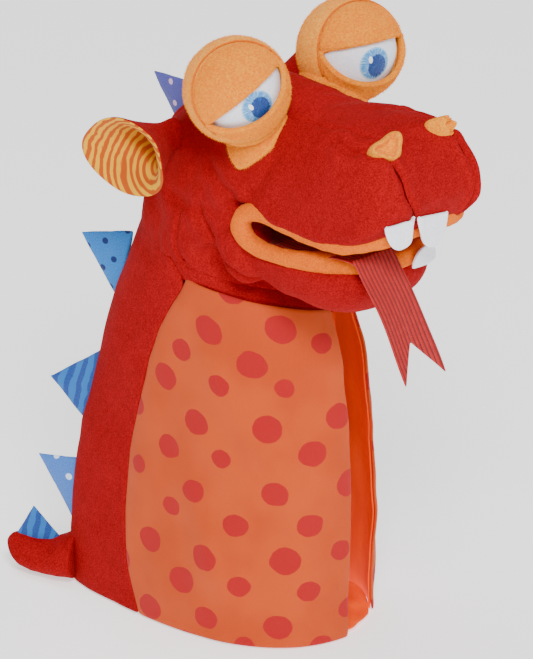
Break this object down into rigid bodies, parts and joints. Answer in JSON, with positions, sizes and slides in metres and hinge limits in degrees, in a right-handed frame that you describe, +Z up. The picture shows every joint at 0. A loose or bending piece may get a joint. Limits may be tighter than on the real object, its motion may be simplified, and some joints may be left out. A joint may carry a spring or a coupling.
{
  "type": "dragon glove puppet",
  "caption": "Soft dragon glove puppet with a stuffed snout, hinged jaw, ribbon tongue, cup ears, lidded eyes, a row of spikes and a belly that opens in front.",
  "frame": {"origin": "middle of the arm opening, on the plane of the hem, which is the plane that the puppet stands on", "axes": "+Z up, out of the arm opening towards the head; the belly faces -Y and the spine +Y; +X is the puppet's left. At rest the head is turned 22 degrees to the puppet's right."},
  "size_m": [0.1675, 0.2741, 0.331],
  "materials": {
    "red_velour": "short-pile velour with a soft pink sheen",
    "printed_cotton": "plain-weave cotton with red dots",
    "orange_satin": "smooth satin with a soft gloss",
    "lining_cloth": "dark red knit",
    "spike_cotton": "stuffed printed cotton, a different dot or stripe on each spike",
    "stuffing": "polyester fibre filling",
    "orange_velour": "short-pile velour",
    "white_felt": "felt",
    "orange_plush": "fuzzy plush",
    "white_velour": "short-pile velour",
    "iris_embroidery": "satin-stitch embroidery in two blues and white",
    "ear_cotton": "yellow cotton with wavy brown-orange stripes",
    "tongue_ribbon": "grosgrain ribbon with lengthwise ribs"
  },
  "bodies": {
    "sleeve": {"back_panel_right": "red_velour", "back_panel_left": "red_velour", "belly_side_right": "printed_cotton", "belly_side_left": "printed_cotton", "hem_band": "lining_cloth", "arm_liner": "lining_cloth", "pouch_lining": "orange_satin", "pouch_floor": "orange_satin", "spine_spike_upper": "spike_cotton", "spine_spike_middle": "spike_cotton", "spine_spike_lower": "spike_cotton"},
    "flap_right": {"belly_flap_right": "printed_cotton", "flap_facing_right": "orange_satin"},
    "flap_left": {"belly_flap_left": "printed_cotton", "flap_facing_left": "orange_satin"},
    "tail": {"tail_cover": "red_velour", "tail_spike": "spike_cotton"},
    "neck": {"neck_tube": "red_velour", "throat_tube": "lining_cloth"},
    "head": {"head_side_right": "red_velour", "head_side_left": "red_velour", "head_top_panel": "red_velour", "snout_stuffing": "stuffing", "finger_pocket": "lining_cloth", "upper_lip": "orange_velour", "palate": "lining_cloth", "upper_teeth": "white_felt", "nostril_right": "orange_plush", "nostril_left": "orange_plush", "crest_spike_front": "spike_cotton", "crest_spike_rear": "spike_cotton", "eye_base_right": "orange_plush", "eye_ball_right": "white_velour", "iris_right": "iris_embroidery", "eyelid_upper_right": "orange_plush", "eyelid_lower_right": "orange_plush", "eye_back_right": "orange_plush", "eye_base_left": "orange_plush", "eye_ball_left": "white_velour", "iris_left": "iris_embroidery", "eyelid_upper_left": "orange_plush", "eyelid_lower_left": "orange_plush", "eye_back_left": "orange_plush"},
    "ear_right": {"ear_outer_right": "red_velour", "ear_lining_right": "ear_cotton"},
    "ear_left": {"ear_outer_left": "red_velour", "ear_lining_left": "ear_cotton"},
    "jaw": {"jaw_shell": "red_velour", "lower_lip": "orange_velour", "mouth_floor": "lining_cloth", "thumb_pocket": "lining_cloth", "lower_teeth": "white_felt", "tongue_root": "tongue_ribbon"},
    "tongue": {"tongue": "tongue_ribbon"}
  },
  "joints": [
    {"name": "head_turn", "type": "hinge", "parent": "sleeve", "child": "neck", "pos_m": [0, 0, 0.187], "axis": [0, 0, 1], "range_deg": [-6, 46]},
    {"name": "head_nod", "type": "hinge", "parent": "neck", "child": "head", "pos_m": [0, 0, 0.206], "axis": [-0.9272, 0.3746, 0], "range_deg": [-8, 15]},
    {"name": "jaw_open", "type": "hinge", "parent": "head", "child": "jaw", "pos_m": [-0.01498, -0.03709, 0.228], "axis": [0.9272, -0.3746, 0], "range_deg": [-5, 15]},
    {"name": "tongue_swing", "type": "hinge", "parent": "jaw", "child": "tongue", "pos_m": [-0.0624, -0.11306, 0.2281], "axis": [0.9272, -0.3746, 0], "range_deg": [-15, 20], "stiffness_Nm_per_rad": 0.01},
    {"name": "ear_right_flick", "type": "hinge", "parent": "head", "child": "ear_right", "pos_m": [-0.02844, 0.01904, 0.262], "axis": [0, 0, 1], "range_deg": [-10, 8], "stiffness_Nm_per_rad": 0.01},
    {"name": "ear_left_flick", "type": "hinge", "parent": "head", "child": "ear_left", "pos_m": [0.03368, -0.00606, 0.262], "axis": [0, 0, -1], "range_deg": [-10, 8], "stiffness_Nm_per_rad": 0.01},
    {"name": "tail_wag", "type": "hinge", "parent": "sleeve", "child": "tail", "pos_m": [0, 0.0855, 0.009], "axis": [0, 0, 1], "range_deg": [-15, 15], "stiffness_Nm_per_rad": 0.01},
    {"name": "flap_right_fold", "type": "hinge", "parent": "sleeve", "child": "flap_right", "pos_m": [-0.0485, -0.043, 0.087], "axis": [0, 0, -1], "range_deg": [-2, 40], "stiffness_Nm_per_rad": 0.01},
    {"name": "flap_left_fold", "type": "hinge", "parent": "sleeve", "child": "flap_left", "pos_m": [0.0485, -0.043, 0.087], "axis": [0, 0, 1], "range_deg": [-2, 40], "stiffness_Nm_per_rad": 0.01}
  ]
}
